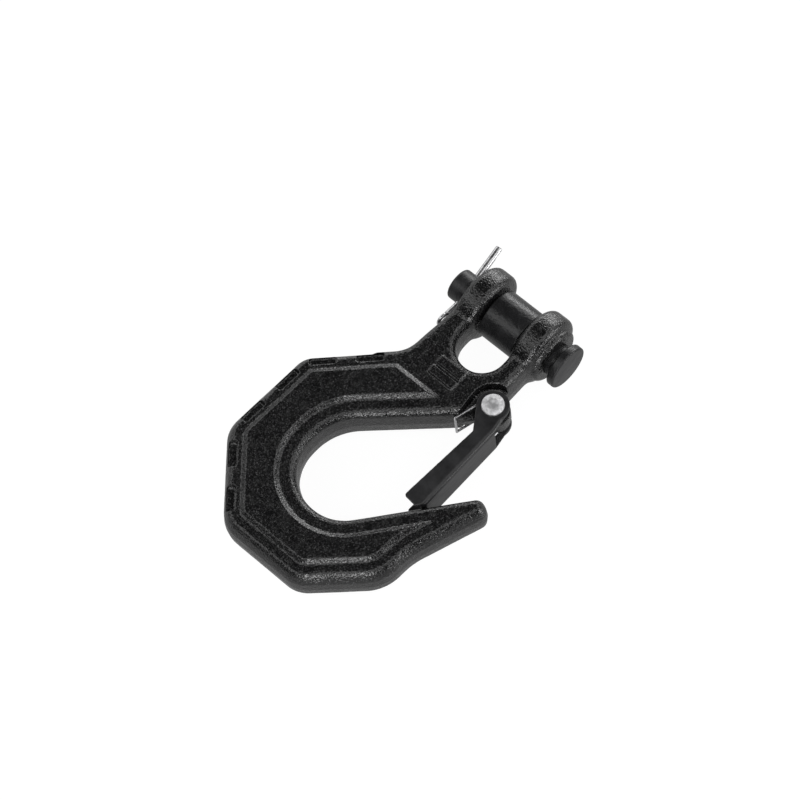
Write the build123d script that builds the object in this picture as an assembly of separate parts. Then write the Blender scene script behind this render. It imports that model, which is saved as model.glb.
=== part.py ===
from build123d import *
from math import acos, atan2, degrees, hypot
import os

# Safety chain hook: a forged clevis slip hook with a sprung latch.
# Frame: origin on the load pin's axis, midway between the ears. +X runs from the hook towards
# the chain, +Y towards the hook's back, +Z out of its upper face. Millimetres.

# ---- forging: thickness ----
body_half = 9.6            # parting plane to the raised panel
rim_half = 8.1             # parting plane to the rim beside the panel
rim_round = 3.2            # rounding of the rim's edges
draft = 5.0                # degrees, forging draft of every wall
step_slope = 50.0          # degrees, slope of the panel's edge

# ---- forging: outline of the hook ----
back_x = -130.0            # flat at the bottom of the hook
back_top_y = 25.1
back_low_y = -10.8
crown_back = (-100.9, 50.5)
crown_front = (-61.4, 48.6)
heel = (-107.9, -34.4)     # where the lower slant meets the nose
nose_root = (-93.5, -35.1)
tip_out = (-63.9, -45.9)
tip_in = (-60.4, -39.8)
corner_round = 9.0
crown_round = 12.5
heel_round = 18.0
nose_root_round = 28.0
tip_round = 4.0

# ---- bowl and throat ----
bowl_x = -103.4            # seat of the bowl
bowl_top_y = 22.5
bowl_turn_y = -4.4         # where the seat turns into the nose
bowl_radius = 18.5
bowl_low_radius = 17.0
bowl_high_radius = 22.0
shank_turn = (-73.5, bowl_top_y)
shank_end = (-41.0, -12.9)

# ---- clevis ----
pin_dia = 12.7
running_clearance = 0.08   # radial, pin in ears and sleeve
clevis_gap = 17.6
ear_thick = 10.0
ear_radius = 14.3
ear_round = 2.9
ear_proud = 0.4            # ears stand this far proud of the arms on each face
crotch_x = -16.4           # centre of the crotch's round
boss_radius = 11.3
boss_height = 2.4
boss_round = 1.8
neck_top = (-34.5, 21.2)
neck_round = 12.0

sleeve_dia = 20.2
sleeve_end_play = 0.7      # between each end of the sleeve and the ear
sleeve_chamfer = 0.5

pin_tail = 8.6             # plain end of the pin beyond the far ear
pin_chamfer = 0.9
head_dia = 17.9
head_thick = 3.4
head_gap = 2.9             # between the pin's head and the boss
head_round = 0.8

# ---- split pin ----
cotter_dia = 2.9           # both legs together
cotter_stand_off = 3.3     # far ear to the split pin's axis
cotter_hole_clearance = 0.02
cotter_lean = 8.0          # degrees, as the loose split pin lies in its hole
cotter_slot = 0.2          # between the two legs
cotter_long = 21.0         # long leg, from the pin's axis
cotter_short = 16.5
cotter_eye_radius = 2.3
cotter_bend_gap = 1.15      # pin to where the eye's end bends away from the ear
cotter_bend = 11.0          # degrees
cotter_eye_run = 7.4        # bend to the middle of the eye

# ---- latch ----
rivet_x = -31.6
rivet_y = -18.95
rivet_dia = 6.4
rivet_head_dia = 8.7
rivet_head_rise = 1.7
rivet_tail_dia = 7.4
rivet_tail_rise = 1.3
latch_half = 8.1           # middle to the outside of each cheek
latch_gauge = 1.5
latch_bend = 1.9           # outside radius of the channel's two bends
latch_web_y = -26.35        # outer face of the web
latch_eye_radius = 6.2
latch_tip_x = -78.7
latch_tip_slant = 0.8      # the cheeks' ends lean out by this much at the web
latch_tip_gap = 0.35       # between the latch and the nose
latch_edge_tip_y = -17.95   # free edges of the cheeks
latch_edge_root = (-43.9, -20.05)
web_end_x = -38.8
latch_root_angle = 132.0   # degrees, where the cheek's edge meets the eye

lug_half = 3.0
lug_radius = 6.3
pocket_room = 2.7          # around the latch's eye in the forging
pocket_run = 14.7          # rivet to the pocket's far end, towards the bowl
pocket_knee = 6.7
pocket_high = 8.3          # height of its wall above the rivet at the knee
pocket_low = 7.3           # and at the far end

# ---- spring ----
wire_dia = 1.0
coil_play = 0.6            # between the rivet and the inside of the coil
coil_gap = 0.08            # between the coil and the lug
coil_turns = 4
bail_gap = 0.05            # between the bail's wire and each cheek
web_leg_angle = -88.5      # degrees, where the short leg leaves the coil
web_leg_length = 10.5
bail_corner_extra = 0.03    # the bail's bent corners, over the wire's radius
bail_at = (-43.8, -11.1)

# ---- rim notches and neck bars ----
notch_length = 10.2
notch_pitch = 17.6
notch_depth = 4.8
notch_floor = 5.0
notch_round = 0.8
notch_lip = 1.2            # wall left outside each notch
panel_inset = 6.2          # outer edge of the rim to the foot of the panel
panel_end_x = -41.3
bar_width = 3.4
bar_length = 11.5
bar_rise = 0.9
bar_x = (-35.2, -30.4)
bar_y = 2.6

panel_rise = body_half - rim_half
pocket_radius = latch_eye_radius + pocket_room
ear_inner = clevis_gap / 2
ear_outer = ear_inner + ear_thick
pin_radius = pin_dia / 2
bore_radius = pin_radius + running_clearance
rivet = Vector(rivet_x, rivet_y)
node = {}


def prism(outline, low, high, slope=0.0):
    """A closed outline raised from low to high, drawn in by slope degrees."""
    face = Plane.XY.offset(low) * make_face(outline)
    return extrude(face, high - low, taper=slope)


def y_cylinder(radius, start, end, rounding=0.0, x=0.0):
    """A cylinder along Y from start to end."""
    bar = Pos(x, (start + end) / 2, 0) * Rot(90, 0, 0) * Cylinder(radius, end - start)
    if rounding:
        bar = fillet(bar.edges().filter_by(GeomType.CIRCLE), rounding)
    return bar


def z_cylinder(radius, low, high, x=rivet_x, y=rivet_y):
    """A cylinder along Z from low to high."""
    return Pos(x, y, (low + high) / 2) * Cylinder(radius, high - low)


def both_sides(upper):
    """The upper solid with its mirror image below the parting plane."""
    return upper + mirror(upper, Plane.XY)


# ---- hook body ----
arm_inner = ear_inner + ear_proud
arm_outer = ear_outer - ear_proud
crotch_back = crotch_x - arm_inner
outline_points = [
    ((0.0, arm_outer), 0.0),
    (neck_top, neck_round),
    (crown_front, corner_round),
    (crown_back, crown_round),
    ((back_x, back_top_y), crown_round),
    ((back_x, back_low_y), crown_round),
    (heel, heel_round),
    (nose_root, nose_root_round),
    (tip_out, tip_round),
    (tip_in, tip_round),
    ((bowl_x, bowl_turn_y), bowl_low_radius),
    ((bowl_x, bowl_top_y), bowl_radius),
    (shank_turn, bowl_high_radius),
    (shank_end, 1.0),
    ((rivet_x - 2.0, -arm_outer), 1.0),
    ((0.0, -arm_outer), 0.0),
    ((0.0, -arm_inner), 0.0),
    ((crotch_back, -arm_inner), arm_inner - 0.1),
    ((crotch_back, arm_inner), arm_inner - 0.1),
    ((0.0, arm_inner), 0.0),
]
outline = FilletPolyline(
    *[Vector(*point) for point, _ in outline_points],
    radius=[size for _, size in outline_points],
    close=True,
)
upper = prism(outline, 0, rim_half, draft)
top = upper.faces().sort_by(Axis.Z)[-1]
upper = fillet([edge for edge in top.edges() if abs(edge.center().X) > 1.0], rim_round)

# raised panel: the outline drawn in, as far as the neck
panel_foot = offset(make_face(outline), amount=-panel_inset, kind=Kind.INTERSECTION)
panel_foot &= Pos((back_x + panel_end_x) / 2, 0) * Rectangle(panel_end_x - back_x, -4 * back_x)
panel_foot = panel_foot.faces().sort_by(SortBy.AREA)[-1]
sunk = 0.4
panel_base = Pos(0, 0, rim_half - sunk) * panel_foot
panel = extrude(panel_base, panel_rise + sunk, taper=step_slope)
upper += panel

# notches in the rim, two on each of three flats
flats = [
    (crown_front, neck_top, 0.42),
    (crown_back, crown_front, 0.50),
    ((back_x, back_top_y), crown_back, 0.48),
]
for start, end, share in flats:
    run_x = end[0] - start[0]
    run_y = end[1] - start[1]
    length = hypot(run_x, run_y)
    turn = degrees(atan2(run_y, run_x))
    for side in (-0.5, 0.5):
        along = share * length + side * notch_pitch
        notch = Box(notch_length, notch_depth - notch_lip, body_half)
        notch = fillet(notch.edges().filter_by(Axis.Z), notch_round)
        place = Pos(start[0], start[1], notch_floor + body_half / 2) * Rot(0, 0, turn)
        inward = -(notch_depth + notch_lip) / 2
        upper -= place * Pos(along, inward, 0) * notch

# plain bars on the neck
for x in bar_x:
    bar = Box(bar_width, bar_length, bar_rise + sunk)
    upper += Pos(x, bar_y, rim_half + (bar_rise - sunk) / 2) * bar

# pocket that the latch's cheek swings in, leaving the lug
pocket = z_cylinder(pocket_radius, lug_half, 2 * body_half)
pocket_side = Polyline(
    (rivet_x, rivet_y + pocket_radius),
    (rivet_x - pocket_knee, rivet_y + pocket_high),
    (rivet_x - pocket_run, rivet_y + pocket_low),
    (rivet_x - pocket_run, rivet_y - 2 * pocket_radius),
    (rivet_x + pocket_radius, rivet_y - 2 * pocket_radius),
    (rivet_x + pocket_radius, rivet_y),
    close=True,
)
upper -= pocket + prism(pocket_side, lug_half, 2 * body_half)
hook = both_sides(upper)
hook += z_cylinder(lug_radius, -lug_half, lug_half)

# ears, the head's boss and the two bores
for side in (-1, 1):
    low, high = sorted((side * ear_inner, side * ear_outer))
    hook += y_cylinder(ear_radius, low, high, ear_round)
hook += y_cylinder(boss_radius, -ear_outer - boss_height, -ear_inner - 1.0, boss_round)
hook -= y_cylinder(bore_radius, -2 * ear_outer, 2 * ear_outer)
hook -= z_cylinder(rivet_dia / 2 + cotter_hole_clearance, -body_half, body_half)
node["hook_body"] = hook

# ---- clevis sleeve ----
sleeve_half = ear_inner - sleeve_end_play
sleeve = y_cylinder(sleeve_dia / 2, -sleeve_half, sleeve_half)
sleeve -= y_cylinder(bore_radius, -ear_outer, ear_outer)
sleeve = chamfer(sleeve.edges().filter_by(GeomType.CIRCLE), sleeve_chamfer)
node["clevis_sleeve"] = sleeve

# ---- clevis pin ----
head_low = -ear_outer - boss_height - head_gap - head_thick
shank = y_cylinder(pin_radius, head_low + 1.0, ear_outer + pin_tail)
far_rim = shank.edges().filter_by(GeomType.CIRCLE).sort_by(Axis.Y)[-1]
shank = chamfer(far_rim, pin_chamfer)
head = y_cylinder(head_dia / 2, head_low, head_low + head_thick, head_round)
cotter_place = Pos(0, ear_outer + cotter_stand_off, 0) * Rot(0, 0, cotter_lean)
hole = Rot(0, 90, 0) * Cylinder(cotter_dia / 2 + cotter_hole_clearance, 3 * pin_dia)
node["clevis_pin"] = shank + head - cotter_place * hole

# ---- split pin ----
cotter_radius = cotter_dia / 2
cotter_bend_x = -pin_radius - cotter_bend_gap


def x_bar(start, end):
    """The split pin's two legs together, along X."""
    return Pos((start + end) / 2, 0, 0) * Rot(0, 90, 0) * Cylinder(cotter_radius, end - start)


legs = x_bar(cotter_bend_x, cotter_long)
eye_end = x_bar(cotter_eye_radius - cotter_eye_run, 0)
eye_end += Pos(-cotter_eye_run, 0, 0) * Rot(90, 0, 0) * Torus(cotter_eye_radius, cotter_dia / 4)
legs += Pos(cotter_bend_x, 0, 0) * (Sphere(cotter_radius) + Rot(0, 0, -cotter_bend) * eye_end)
slot_length = cotter_long - cotter_bend_x
legs -= Pos(cotter_long - slot_length / 2, 0, 0) * Box(slot_length, 2 * cotter_dia, cotter_slot)
spare = cotter_long - cotter_short
legs -= Pos(cotter_long - spare / 2, 0, -cotter_radius) * Box(spare, 2 * cotter_dia, cotter_dia)
node["cotter_pin"] = cotter_place * legs

# ---- latch ----
nose_turn = atan2(bowl_turn_y - tip_in[1], bowl_x - tip_in[0])
eye_tangent = rivet + Vector(latch_eye_radius, 0).rotate(Axis.Z, latch_root_angle)
cheek_points = [
    ((latch_tip_x, latch_edge_tip_y), 1.0),
    (latch_edge_root, 0.8),
    ((eye_tangent.X, eye_tangent.Y), 0.0),
    ((rivet_x, rivet_y), 0.0),
    ((rivet_x + 0.8, rivet_y - latch_eye_radius + 0.05), 0.0),
    ((web_end_x, latch_web_y), 3.0),
    ((latch_tip_x - latch_tip_slant, latch_web_y), 0.0),
]
cheek_line = FilletPolyline(
    *[Vector(*point) for point, _ in cheek_points],
    radius=[size for _, size in cheek_points],
    close=True,
)
block = prism(cheek_line, -latch_half, latch_half)
bends = [
    edge for edge in block.edges().filter_by(Axis.X)
    if abs(edge.center().Y - latch_web_y) < 0.01
]
block = fillet(bends, latch_bend)
block += z_cylinder(latch_eye_radius, -latch_half, latch_half)
channel_half = latch_half - latch_gauge
channel = Box(200, 100, 2 * channel_half)
channel = fillet(channel.edges().filter_by(Axis.X), latch_bend - latch_gauge)
block -= Pos(0, latch_web_y + latch_gauge + 50, 0) * channel
block -= Pos(web_end_x + 50, latch_web_y, 0) * Box(100, 60, 2 * channel_half)
block -= z_cylinder(rivet_dia / 2 + running_clearance, -body_half, body_half)
nose_cut = Pos(tip_in[0], tip_in[1], 0) * Rot(0, 0, degrees(nose_turn))
block -= nose_cut * Pos(0, 50 - latch_tip_gap, 0) * Box(300, 100, 100)
node["latch"] = block

# ---- latch rivet ----
pin_through = z_cylinder(rivet_dia / 2, -latch_half - 0.5, latch_half + 0.5)
face_gap = running_clearance
dome = z_cylinder(rivet_head_dia / 2, latch_half + face_gap, latch_half + face_gap + rivet_head_rise)
dome = fillet(dome.edges().sort_by(Axis.Z)[-1], rivet_head_rise * 0.9)
tail = z_cylinder(rivet_tail_dia / 2, -latch_half - face_gap - rivet_tail_rise, -latch_half - face_gap)
tail = fillet(tail.edges().sort_by(Axis.Z)[0], rivet_tail_rise * 0.8)
node["latch_rivet"] = pin_through + dome + tail

# ---- latch spring: on each side a close-wound coil, a short leg and half of the bail ----
wire = wire_dia / 2
coil_radius = rivet_dia / 2 + coil_play + wire
bail_half = channel_half - bail_gap - wire
coil_low = lug_half + coil_gap + wire
turn_pitch = (bail_half - coil_low) / (coil_turns - 1)
bail_run = Vector(*bail_at) - rivet
bail_angle = degrees(atan2(bail_run.Y, bail_run.X) - acos(coil_radius / bail_run.length))


def on_coil(angle, height):
    """The wire's middle at an angle round the coil."""
    return Vector(coil_radius, 0).rotate(Axis.Z, angle) + rivet + Vector(0, 0, height)


def rod(start, end):
    """A straight length of wire."""
    run = end - start
    return Plane(origin=(start + end) / 2, z_dir=run.normalized()) * Cylinder(wire, run.length)


half_spring = Pos(rivet_x, rivet_y, coil_low) * Torus(coil_radius, wire)
for turn in range(1, coil_turns):
    height = coil_low + turn * turn_pitch
    half_spring += Pos(rivet_x, rivet_y, height) * Torus(coil_radius, wire)
leg_start = on_coil(web_leg_angle, coil_low)
leg_run = Vector(0, -web_leg_length).rotate(Axis.Z, web_leg_angle)
half_spring += rod(leg_start + leg_run, leg_start)
bail_corner = Vector(*bail_at, bail_half)
half_spring += rod(on_coil(bail_angle, bail_half), bail_corner)
half_spring += Pos(bail_corner) * Rot(0, 90, 0) * Sphere(wire + bail_corner_extra)
half_spring += rod(Vector(*bail_at, 0), bail_corner)
node["latch_spring"] = both_sides(half_spring)

os.makedirs("parts", exist_ok=True)
for name, solid in node.items():
    box = solid.bounding_box()
    print(name, len(solid.solids()), round(solid.volume, 1), box.min, box.max, solid.is_valid)
    export_step(solid, f"parts/{name}.step")
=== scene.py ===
from math import cos, pi, radians, sin, tan

import bmesh
import bpy
import numpy as np
from mathutils import Matrix, Vector, noise


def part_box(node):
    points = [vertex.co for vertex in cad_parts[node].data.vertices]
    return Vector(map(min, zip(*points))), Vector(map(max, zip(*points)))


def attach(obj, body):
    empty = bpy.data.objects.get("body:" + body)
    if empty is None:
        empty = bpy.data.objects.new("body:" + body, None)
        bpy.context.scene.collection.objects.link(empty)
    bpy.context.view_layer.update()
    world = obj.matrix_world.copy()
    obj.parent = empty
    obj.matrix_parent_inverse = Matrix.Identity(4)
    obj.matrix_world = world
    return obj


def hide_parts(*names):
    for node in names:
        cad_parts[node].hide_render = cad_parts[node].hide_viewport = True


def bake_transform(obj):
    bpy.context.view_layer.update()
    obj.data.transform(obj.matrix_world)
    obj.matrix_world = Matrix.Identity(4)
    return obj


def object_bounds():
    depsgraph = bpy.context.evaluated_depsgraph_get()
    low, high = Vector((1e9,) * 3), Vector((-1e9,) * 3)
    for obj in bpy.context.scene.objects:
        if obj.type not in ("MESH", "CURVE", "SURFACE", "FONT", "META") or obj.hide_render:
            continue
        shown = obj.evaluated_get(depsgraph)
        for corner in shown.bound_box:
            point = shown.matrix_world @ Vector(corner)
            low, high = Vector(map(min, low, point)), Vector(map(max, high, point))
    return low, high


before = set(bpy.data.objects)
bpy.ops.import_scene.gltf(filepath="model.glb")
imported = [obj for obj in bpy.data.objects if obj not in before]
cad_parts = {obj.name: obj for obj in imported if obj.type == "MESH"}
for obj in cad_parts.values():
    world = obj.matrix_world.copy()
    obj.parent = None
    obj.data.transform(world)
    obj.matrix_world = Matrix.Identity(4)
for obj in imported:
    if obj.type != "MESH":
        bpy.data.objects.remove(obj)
cad_low, cad_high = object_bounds()

MM = 0.001
MERGE = 1e-6                # vertices closer than this are one, in metres
RIVET_X = -31.6             # the latch's pivot, in mm
RIVET_Y = -18.95


def add_object(name, data):
    """A new object in the scene."""
    made = bpy.data.objects.new(name, data)
    bpy.context.scene.collection.objects.link(made)
    return made


# ---- camera: the photograph's angle, through a long lens ----
AZIMUTH = radians(-38.6)
ELEVATION = radians(65.0)
ROLL = radians(10.0)
DISTANCE = 1.2265
AIM = Vector((-0.0496871, 0.0113275, 0.0))
LENS = 150.0
SENSOR_WIDTH = 36.0


def place_camera():
    """The scene's camera, looking at AIM."""
    back = Vector((
        sin(AZIMUTH) * cos(ELEVATION),
        -cos(AZIMUTH) * cos(ELEVATION),
        sin(ELEVATION),
    ))
    level = Vector((cos(AZIMUTH), sin(AZIMUTH), 0.0))
    rise = back.cross(level)
    right = level * cos(ROLL) - rise * sin(ROLL)
    up = level * sin(ROLL) + rise * cos(ROLL)

    data = bpy.data.cameras.new("camera")
    data.sensor_width = SENSOR_WIDTH
    data.lens = LENS
    data.clip_start = 0.05
    data.clip_end = 20.0
    camera = add_object("camera", data)
    turn = Matrix((right, up, back)).transposed()
    camera.matrix_world = Matrix.Translation(AIM + back * DISTANCE) @ turn.to_4x4()
    bpy.context.scene.camera = camera


place_camera()


# ---- materials ----
def new_material(name):
    """A material as (material, nodes, links, principled shader)."""
    made = bpy.data.materials.new(name)
    made.use_nodes = True
    tree = made.node_tree
    return made, tree.nodes, tree.links, tree.nodes["Principled BSDF"]


def object_place(nodes):
    """The place on the object, as a vector output."""
    return nodes.new("ShaderNodeTexCoord").outputs["Object"]


def stretched(nodes, links, place, scale):
    """A place scaled differently along each axis."""
    made = nodes.new("ShaderNodeMapping")
    made.inputs["Scale"].default_value = scale
    links.new(place, made.inputs["Vector"])
    return made.outputs["Vector"]


def noise_value(nodes, links, place, scale, detail, rough):
    """A noise texture's value, around 0.5."""
    made = nodes.new("ShaderNodeTexNoise")
    made.inputs["Scale"].default_value = scale
    made.inputs["Detail"].default_value = detail
    made.inputs["Roughness"].default_value = rough
    links.new(place, made.inputs["Vector"])
    return made.outputs["Fac"]


def remap(nodes, links, value, given, wanted=(0.0, 1.0)):
    """Maps a value linearly from one (low, high) to another, and clamps it."""
    made = nodes.new("ShaderNodeMapRange")
    made.inputs["From Min"].default_value, made.inputs["From Max"].default_value = given
    made.inputs["To Min"].default_value, made.inputs["To Max"].default_value = wanted
    links.new(value, made.inputs["Value"])
    return made.outputs["Result"]


def bump(nodes, links, height, strength, distance, below=None):
    """A bumped normal, stacked on another one if given."""
    made = nodes.new("ShaderNodeBump")
    made.inputs["Strength"].default_value = strength
    made.inputs["Distance"].default_value = distance
    links.new(height, made.inputs["Height"])
    if below:
        links.new(below, made.inputs["Normal"])
    return made.outputs["Normal"]


def tint(nodes, links, value, dark, light):
    """A colour between two, by a value from 0 to 1."""
    made = nodes.new("ShaderNodeMix")
    made.data_type = "RGBA"
    made.inputs["A"].default_value = (*dark, 1.0)
    made.inputs["B"].default_value = (*light, 1.0)
    links.new(value, made.inputs["Factor"])
    return made.outputs["Result"]


COAT_DARK = (0.003, 0.003, 0.0032)
COAT_LIGHT = (0.030, 0.030, 0.031)
COAT_GLOSS = (0.17, 0.30)   # roughness in its smooth and rough patches
COAT_SPECULAR = 0.8
FULL_NOISE = (0.3, 0.7)     # nearly all of a noise's values lie between these


def coated_black():
    """Textured black coat over the rough forging: light grains on a black ground."""
    made, nodes, links, shader = new_material("forged_black_coat")
    place = object_place(nodes)
    grain = noise_value(nodes, links, place, scale=1350.0, detail=1.0, rough=0.6)
    peel = noise_value(nodes, links, place, scale=380.0, detail=2.0, rough=0.5)
    shade = remap(nodes, links, grain, (0.52, 0.70))
    gloss = remap(nodes, links, peel, FULL_NOISE, COAT_GLOSS)
    fine = bump(nodes, links, grain, strength=0.6, distance=0.0005)
    both = bump(nodes, links, peel, strength=0.25, distance=0.0005, below=fine)
    links.new(tint(nodes, links, shade, COAT_DARK, COAT_LIGHT), shader.inputs["Base Color"])
    links.new(gloss, shader.inputs["Roughness"])
    links.new(both, shader.inputs["Normal"])
    shader.inputs["Specular IOR Level"].default_value = COAT_SPECULAR
    return made


def satin_black(name, base, roughness, streak=(1.0, 1.0, 1.0), depth=0.12):
    """Satin black finish on turned and pressed steel, with fine tool marks along the streak."""
    made, nodes, links, shader = new_material(name)
    place = object_place(nodes)
    along = stretched(nodes, links, place, streak)
    marks = noise_value(nodes, links, along, scale=900.0, detail=3.0, rough=0.5)
    patches = noise_value(nodes, links, place, scale=160.0, detail=4.0, rough=0.65)
    shade = remap(nodes, links, patches, (0.35, 0.65))
    gloss = remap(nodes, links, patches, FULL_NOISE, (roughness - 0.05, roughness + 0.08))
    normal = bump(nodes, links, marks, strength=depth, distance=0.0004)
    dark = [channel * 0.7 for channel in base]
    light = [channel * 1.35 for channel in base]
    links.new(tint(nodes, links, shade, dark, light), shader.inputs["Base Color"])
    links.new(gloss, shader.inputs["Roughness"])
    links.new(normal, shader.inputs["Normal"])
    return made


def bright_zinc(name, base, roughness, mottle):
    """Bright plated steel, darker in patches by the share that mottle gives."""
    made, nodes, links, shader = new_material(name)
    place = object_place(nodes)
    patches = noise_value(nodes, links, place, scale=420.0, detail=3.0, rough=0.6)
    shade = remap(nodes, links, patches, (0.38, 0.62))
    gloss = remap(nodes, links, patches, FULL_NOISE, (roughness, roughness + 0.12))
    normal = bump(nodes, links, patches, strength=0.35, distance=0.0003)
    dark = [channel * (1.0 - mottle) for channel in base]
    links.new(tint(nodes, links, shade, dark, base), shader.inputs["Base Color"])
    links.new(gloss, shader.inputs["Roughness"])
    links.new(normal, shader.inputs["Normal"])
    shader.inputs["Metallic"].default_value = 1.0
    return made


COAT = coated_black()
SLEEVE_BLACK = satin_black(
    "sleeve_black_oxide", (0.016, 0.016, 0.017), roughness=0.27, depth=0.4)
PIN_BLACK = satin_black(
    "pin_black_oxide", (0.014, 0.014, 0.015), roughness=0.36, streak=(0.3, 1.6, 0.3), depth=0.6)
LATCH_BLACK = satin_black(
    "latch_black_sheet", (0.020, 0.020, 0.021), roughness=0.36, streak=(0.25, 1.0, 1.0), depth=0.2)
ZINC = bright_zinc("rivet_zinc", (0.88, 0.88, 0.89), roughness=0.55, mottle=0.40)
COTTER_ZINC = bright_zinc("split_pin_zinc", (0.74, 0.74, 0.75), roughness=0.24, mottle=0.15)
WIRE_STEEL = bright_zinc("spring_wire_steel", (0.72, 0.72, 0.73), roughness=0.22, mottle=0.15)


# ---- mesh helpers ----
INWARD = 0.016 * MM         # keeps the roughened surface inside the CAD box
WEIGHT_LEVELS = 10          # steps that a vertex weight is rounded to
LATHE_SIDES = 128
LATHE_ARC_STEPS = 6
NOWHERE_NEAR = 1e9


def add_smoothing(obj, steps):
    """A smoothing modifier on the object."""
    made = obj.modifiers.new("soft", "SMOOTH")
    made.factor = 0.5
    made.iterations = steps
    return made


def apply_modifiers(obj):
    """Replaces the object's mesh by what its modifiers make of it."""
    graph = bpy.context.evaluated_depsgraph_get()
    old = obj.data
    obj.data = bpy.data.meshes.new_from_object(obj.evaluated_get(graph), depsgraph=graph)
    obj.modifiers.clear()
    bpy.data.meshes.remove(old)


def refined(node, name, material, voxel, smooth_steps):
    """A copy of a CAD node, remeshed evenly so that its edges can be softened."""
    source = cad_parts[node]
    made = add_object(name, source.data.copy())
    made.matrix_world = source.matrix_world.copy()
    work = bmesh.new()
    work.from_mesh(made.data)
    bmesh.ops.remove_doubles(work, verts=work.verts, dist=MERGE)
    work.to_mesh(made.data)
    work.free()
    remesh = made.modifiers.new("even", "REMESH")
    remesh.mode = "VOXEL"
    remesh.voxel_size = voxel
    add_smoothing(made, smooth_steps)
    apply_modifiers(made)
    made.data.materials.clear()
    made.data.materials.append(material)
    made.data.polygons.foreach_set("use_smooth", [True] * len(made.data.polygons))
    return made


def soften(obj, steps, weights=None):
    """Evens out the mesh after it has been shaped, all over or by a weight for each vertex."""
    smooth = add_smoothing(obj, steps)
    if weights is not None:
        group = obj.vertex_groups.new(name="soft")
        for level in range(1, WEIGHT_LEVELS + 1):
            chosen = np.flatnonzero(np.round(weights * WEIGHT_LEVELS) == level)
            group.add(chosen.tolist(), level / WEIGHT_LEVELS, "REPLACE")
        smooth.vertex_group = group.name
    apply_modifiers(obj)
    obj.vertex_groups.clear()


def roughen(obj, waves):
    """Moves each vertex along its normal by noise: waves is a list of (wavelength, height)."""
    moved = []
    for vertex in obj.data.vertices:
        move = sum(noise.noise(vertex.co / length) * height for length, height in waves)
        moved.extend(vertex.co + vertex.normal * (move - INWARD))
    obj.data.vertices.foreach_set("co", moved)
    obj.data.update()


def read_places(obj):
    """The vertices as rows of x, y and z in mm."""
    flat = np.empty(len(obj.data.vertices) * 3)
    obj.data.vertices.foreach_get("co", flat)
    return flat.reshape(-1, 3) / MM


def rounded(corners, steps=10):
    """Points along a line whose (place, radius) corners are arcs."""
    points = []
    for index, (corner, radius) in enumerate(corners):
        here = Vector(corner)
        if not radius:
            points.append(here)
            continue
        one = (Vector(corners[index - 1][0]) - here).normalized()
        two = (Vector(corners[(index + 1) % len(corners)][0]) - here).normalized()
        half = one.angle(two) / 2
        centre = here + (one + two).normalized() * (radius / sin(half))
        start = here + one * (radius / tan(half)) - centre
        sweep = (here + two * (radius / tan(half)) - centre).angle_signed(start)
        for step in range(steps + 1):
            turned = Matrix.Rotation(sweep * step / steps, 2) @ start
            points.append(centre + turned)
    return points


def distance_to(line, x, y):
    """Plan distance from each point to an open line of points."""
    nearest = np.full(len(x), NOWHERE_NEAR)
    for start, end in zip(line, line[1:]):
        run = end - start
        along = ((x - start.x) * run.x + (y - start.y) * run.y) / run.length_squared
        along = np.clip(along, 0.0, 1.0)
        gap = np.hypot(x - start.x - along * run.x, y - start.y - along * run.y)
        nearest = np.minimum(nearest, gap)
    return nearest


def lathe(name, corners, axis, material, closed=False):
    """A turned piece: ((radius, place), rounding) corners in mm, revolved about Y or Z."""
    mesh = bpy.data.meshes.new(name)
    work = bmesh.new()
    rings = []
    for radius, place in rounded(corners, LATHE_ARC_STEPS):
        ring = []
        for side in range(LATHE_SIDES):
            angle = 2 * pi * side / LATHE_SIDES
            across, over = radius * cos(angle), radius * sin(angle)
            point = (across, place, over) if axis == "Y" else (across, over, place)
            ring.append(work.verts.new(Vector(point) * MM))
        rings.append(ring)
    after = rings[1:] + rings[:1] if closed else rings[1:]
    for one, two in zip(rings, after):
        for side in range(LATHE_SIDES):
            beside = (side + 1) % LATHE_SIDES
            work.faces.new((one[side], one[beside], two[beside], two[side]))
    bmesh.ops.remove_doubles(work, verts=work.verts, dist=MERGE)
    bmesh.ops.dissolve_degenerate(work, edges=work.edges, dist=MERGE / 10)
    bmesh.ops.recalc_face_normals(work, faces=work.faces)
    for face in work.faces:
        face.smooth = True
    work.to_mesh(mesh)
    work.free()
    mesh.materials.append(material)
    return add_object(name, mesh)


def stand_for(obj, node, body):
    """obj rides on the body and stands for the node, whose CAD part it hides."""
    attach(obj, body)
    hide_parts(node)


def box_in_mm(node):
    """The low and high corners of a CAD node."""
    low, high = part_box(node)
    return Vector(low) / MM, Vector(high) / MM


# ---- hook body: the forging's outline as (corner, rounding), in mm ----
BACK_CORNERS = [
    ((-34.5, 21.2), 0.0), ((-61.4, 48.6), 9.0), ((-100.9, 50.5), 12.5), ((-130.0, 25.1), 12.5),
    ((-130.0, -10.8), 12.5), ((-107.9, -34.4), 18.0), ((-93.5, -35.1), 28.0),
    ((-63.9, -45.9), 4.0), ((-60.4, -39.8), 0.0),
]
BOWL_CORNERS = [
    ((-60.4, -39.8), 0.0), ((-103.4, -4.4), 17.0), ((-103.4, 22.5), 18.5),
    ((-73.5, 22.5), 22.0), ((-41.0, -12.9), 0.0),
]
RIM_TOP = 8.1
BACK_BEVEL = 3.8            # widths of the bevels in plan
BOWL_BEVEL = 2.8
BACK_EDGE = 3.0             # heights at which they start, above the parting plane
BOWL_EDGE = 5.0
NO_LIMIT = 99.0             # height of the cap where there is no bevel
NECK_START = -44.0          # the bevels fade out between these two places along X
NECK_END = -33.0
FADE_RISE = 12.0            # how far the cap has risen at the end of the fade

EAR_ROOT_X = -12.5          # where the arms run up into the ears
EAR_ROOT_REACH = 11.0
EAR_ROOT_GAIN = 1.6         # the softening is full within 1 - 1 / 1.6 of the reach
ARM_CORE = 3.0              # heights between which the softening sets in
ARM_SKIN = 6.0

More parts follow.
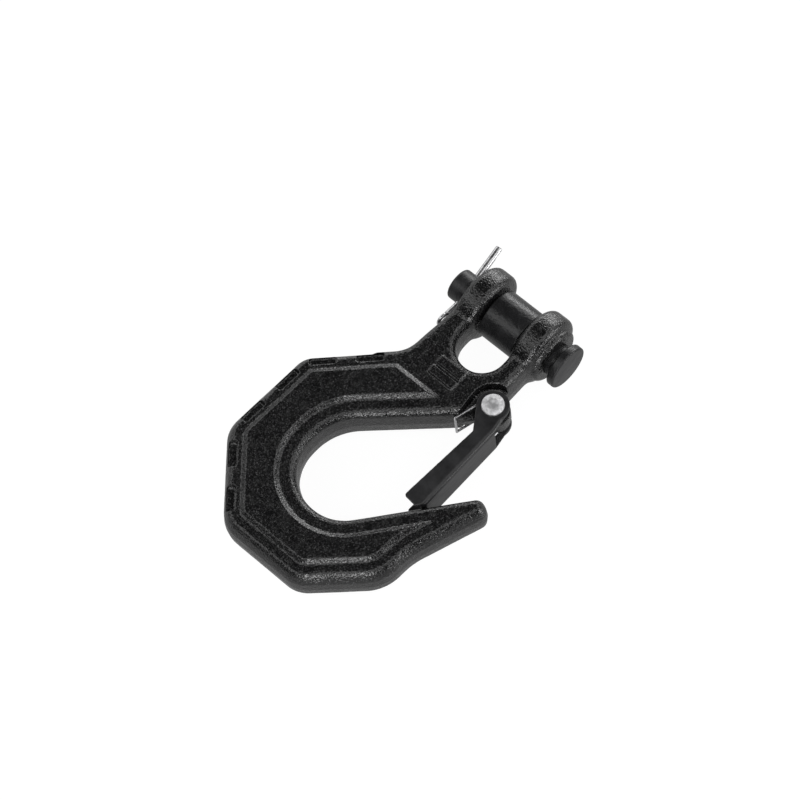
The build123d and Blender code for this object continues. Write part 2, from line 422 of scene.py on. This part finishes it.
BEVEL_SOFTENING = 2         # smoothing steps
EAR_ROOT_SOFTENING = 90
FORGED_WAVES = [(9.0 * MM, 0.05 * MM), (1.3 * MM, 0.028 * MM)]   # lengths and heights


def bevel_height(distance, edge, width):
    """Height of the rounded bevel at a distance from the outline, open past its width."""
    share = np.clip(distance / width, 0.0, 1.0)
    height = edge + (RIM_TOP - edge) * (1.0 - (1.0 - share) ** 2)
    return np.where(distance < width, height, NO_LIMIT)


def forge_bevels(obj):
    """Rounds the rim down towards its outline, as the forging dies leave it."""
    places = read_places(obj)
    x, y, z = places.T
    back = distance_to(rounded(BACK_CORNERS), x, y)
    bowl = distance_to(rounded(BOWL_CORNERS), x, y)
    cap = np.minimum(
        bevel_height(back, BACK_EDGE, BACK_BEVEL),
        bevel_height(bowl, BOWL_EDGE, BOWL_BEVEL),
    )
    fade = np.clip((x - NECK_START) / (NECK_END - NECK_START), 0.0, 1.0)
    cap = cap + fade * FADE_RISE
    places[:, 2] = np.sign(z) * np.minimum(np.abs(z), cap)
    obj.data.vertices.foreach_set("co", (places * MM).ravel())
    obj.data.update()


def ear_roots(obj):
    """Weights that pick out where the arms run up into the ears."""
    x, _, z = read_places(obj).T
    near = np.clip(1.0 - np.abs(x - EAR_ROOT_X) / EAR_ROOT_REACH, 0.0, 1.0)
    outside = np.clip((np.abs(z) - ARM_CORE) / (ARM_SKIN - ARM_CORE), 0.0, 1.0)
    return np.clip(near * EAR_ROOT_GAIN, 0.0, 1.0) * outside


hook = refined("hook_body", "forged_hook", COAT, voxel=0.33 * MM, smooth_steps=1)
forge_bevels(hook)
soften(hook, BEVEL_SOFTENING)
soften(hook, EAR_ROOT_SOFTENING, ear_roots(hook))
roughen(hook, FORGED_WAVES)
stand_for(hook, "hook_body", "hook")


# ---- turned pieces, in mm ----
SHANK_RADIUS = 6.35
BORE_RADIUS = 6.43
PIN_HEAD_THICK = 3.4
RIVET_RADIUS = 3.2
TAIL_RADIUS = 3.7
TAIL_RISE = 1.3
HEAD_RISE = 1.7
DOME_EDGE = 0.75            # how far the dome lies below the CAD's top: at its edge,
DOME_HALFWAY = 0.1          # halfway out
DOME_CENTRE = 0.05          # and at its centre
DOME_INSET = 0.1            # its edge in from the head's side

sleeve_low, sleeve_high = box_in_mm("clevis_sleeve")
sleeve = lathe("spacer_sleeve", [
    ((sleeve_high.x, sleeve_low.y), 0.6),
    ((sleeve_high.x, sleeve_high.y), 0.6),
    ((BORE_RADIUS, sleeve_high.y), 0.4),
    ((BORE_RADIUS, sleeve_low.y), 0.4),
], "Y", SLEEVE_BLACK, closed=True)
stand_for(sleeve, "clevis_sleeve", "sleeve")

pin_low, pin_high = box_in_mm("clevis_pin")
pin_head_top = pin_low.y + PIN_HEAD_THICK
pin = lathe("load_pin", [
    ((0.0, pin_low.y), 0.0),
    ((pin_high.x, pin_low.y), 0.7),
    ((pin_high.x, pin_head_top), 0.9),
    ((SHANK_RADIUS, pin_head_top), 0.3),
    ((SHANK_RADIUS, pin_high.y), 1.1),
    ((0.0, pin_high.y), 0.0),
], "Y", PIN_BLACK)
stand_for(pin, "clevis_pin", "pin")

rivet_low, rivet_high = box_in_mm("latch_rivet")
head_radius = (rivet_high.x - rivet_low.x) / 2
tail_top = rivet_low.z + TAIL_RISE
head_under = rivet_high.z - HEAD_RISE
rivet = lathe("latch_rivet_domed", [
    ((0.0, rivet_low.z), 0.0),
    ((TAIL_RADIUS, rivet_low.z), 1.0),
    ((TAIL_RADIUS, tail_top), 0.1),
    ((RIVET_RADIUS, tail_top), 0.0),
    ((RIVET_RADIUS, head_under), 0.0),
    ((head_radius, head_under), 0.1),
    ((head_radius - DOME_INSET, rivet_high.z - DOME_EDGE), 0.5),
    ((head_radius / 2, rivet_high.z - DOME_HALFWAY), 2.0),
    ((0.0, rivet_high.z - DOME_CENTRE), 0.0),
], "Z", ZINC)
rivet.data.transform(Matrix.Translation(Vector((RIVET_X, RIVET_Y, 0.0)) * MM))
stand_for(rivet, "latch_rivet", "hook")


latch = refined("latch", "latch_channel", LATCH_BLACK, voxel=0.25 * MM, smooth_steps=5)
stand_for(latch, "latch", "latch")

cotter = refined("cotter_pin", "split_pin", COTTER_ZINC, voxel=0.16 * MM, smooth_steps=3)
stand_for(cotter, "cotter_pin", "pin")

spring = refined("latch_spring", "torsion_spring", WIRE_STEEL, voxel=0.14 * MM, smooth_steps=3)
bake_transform(spring)
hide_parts("latch_spring")


# ---- floor, world and lights ----
WHITE = (1.0, 1.0, 1.0, 1.0)
NEARLY_BLACK = (0.02, 0.02, 0.02, 1.0)
FLOOR_GREY = (0.12, 0.12, 0.12, 1.0)
FLOOR_SIZE = 3.0
FLOOR_GAP = 0.0002          # below the lowest CAD point
FLOOR_GLOW = (0.40, 0.95)   # as the object gets it, and as the camera sees it
SURROUND_STRENGTH = 1.5
# The flat faces reflect this direction, which stays dark. A ring of soft light lies about
# it, by the cosines of its angles from it: dark at and past its ends, full between two.
MIRROR_DIRECTION = (0.264, 0.330, 0.906)
RING_ENDS = (0.42, 0.86)
RING_FULL = (0.54, 0.72)
LIT_CENTRE = Vector((-0.055, 0.0, 0.0))
SOFTBOX_DISTANCE = 0.9


def make_floor():
    """A white floor just below the part."""
    mesh = bpy.data.meshes.new("floor")
    work = bmesh.new()
    bmesh.ops.create_grid(work, x_segments=1, y_segments=1, size=FLOOR_SIZE)
    work.to_mesh(mesh)
    work.free()
    floor = add_object("floor", mesh)
    floor.location.z = cad_low.z - FLOOR_GAP
    material, nodes, links, shader = new_material("white_floor")
    shader.inputs["Base Color"].default_value = FLOOR_GREY
    shader.inputs["Roughness"].default_value = 0.95
    shader.inputs["Specular IOR Level"].default_value = 0.0
    shader.inputs["Emission Color"].default_value = WHITE
    seen = nodes.new("ShaderNodeLightPath").outputs["Is Camera Ray"]
    glow = remap(nodes, links, seen, (0.0, 1.0), FLOOR_GLOW)
    links.new(glow, shader.inputs["Emission Strength"])
    mesh.materials.append(material)
    return floor


def make_world():
    """White to the camera, and a ring of light on a dark ground to the object."""
    world = bpy.data.worlds.new("studio")
    bpy.context.scene.world = world
    world.use_nodes = True
    nodes, links = world.node_tree.nodes, world.node_tree.links

    heading = nodes.new("ShaderNodeTexCoord").outputs["Generated"]
    facing = nodes.new("ShaderNodeVectorMath")
    facing.operation = "DOT_PRODUCT"
    facing.inputs[1].default_value = MIRROR_DIRECTION
    links.new(heading, facing.inputs[0])
    ring = nodes.new("ShaderNodeValToRGB")
    links.new(facing.outputs["Value"], ring.inputs["Fac"])
    stops = ring.color_ramp.elements
    for stop, closeness in zip(stops, RING_ENDS):
        stop.position = closeness
        stop.color = NEARLY_BLACK
    for closeness in RING_FULL:
        stops.new(closeness).color = WHITE

    surround = nodes["Background"]
    surround.inputs["Strength"].default_value = SURROUND_STRENGTH
    links.new(ring.outputs["Color"], surround.inputs["Color"])
    backdrop = nodes.new("ShaderNodeBackground")
    backdrop.inputs["Strength"].default_value = 1.0
    backdrop.inputs["Color"].default_value = WHITE
    seen = nodes.new("ShaderNodeLightPath").outputs["Is Camera Ray"]
    choose = nodes.new("ShaderNodeMixShader")
    links.new(seen, choose.inputs[0])
    links.new(surround.outputs[0], choose.inputs[1])
    links.new(backdrop.outputs[0], choose.inputs[2])
    links.new(choose.outputs[0], nodes["World Output"].inputs["Surface"])


def softbox(name, direction, width, height, power):
    """A rectangular light in a direction from the object, facing it."""
    data = bpy.data.lights.new(name, "AREA")
    data.shape = "RECTANGLE"
    data.size = width
    data.size_y = height
    data.energy = power
    place = LIT_CENTRE + Vector(direction).normalized() * SOFTBOX_DISTANCE
    made = add_object(name, data)
    made.location = place
    made.rotation_euler = (LIT_CENTRE - place).to_track_quat("-Z", "Y").to_euler()


make_floor()
make_world()
softbox("corner_box", (-0.73, -0.57, 0.38), width=0.3, height=0.3, power=3.0)
softbox("front_low", (0.45, -0.88, 0.10), width=0.7, height=0.25, power=3.0)
softbox("right_low", (0.94, 0.33, 0.12), width=0.8, height=0.16, power=2.5)
bpy.context.scene.view_settings.view_transform = "Standard"
